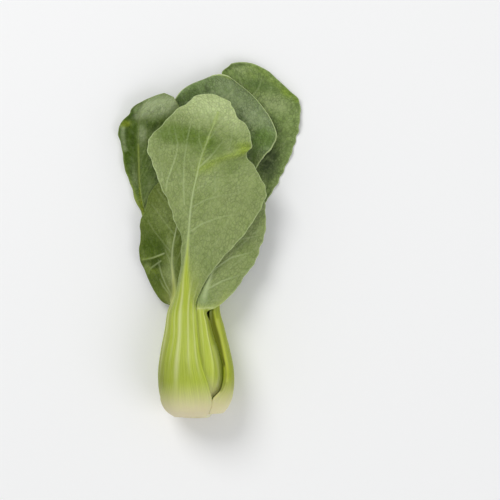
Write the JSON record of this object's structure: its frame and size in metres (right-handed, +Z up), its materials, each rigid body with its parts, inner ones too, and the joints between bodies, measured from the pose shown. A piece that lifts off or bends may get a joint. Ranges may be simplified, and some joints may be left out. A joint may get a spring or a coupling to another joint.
{
  "type": "bok choy",
  "caption": "Whole head of bok choy lying on its side, with a bulb of broad pale ribbed stems, a cut base and layered green leaves.",
  "frame": {"origin": "middle of the footprint, on the surface the head lies on", "axes": "+Y from the cut base to the leaf tips, +Z up from the surface, +X to the right with the front stem on top"},
  "size_m": [0.105, 0.2034, 0.0421],
  "materials": {
    "stump": "matte, moist cut stem",
    "leaf_back": "satin, waxy leaf underside and stem",
    "leaf_face": "satin, waxy leaf upper face"
  },
  "bodies": {
    "root": {"stump": "stump", "leaf_front": "leaf_back", "leaf_left_lower": "leaf_back", "leaf_left_back": "leaf_face", "leaf_centre_back": "leaf_face", "leaf_top_back": "leaf_face", "leaf_right_outer": "leaf_back", "leaf_right_inner": "leaf_back", "leaf_heart_front": "leaf_back", "leaf_heart_back": "leaf_face"}
  },
  "joints": []
}
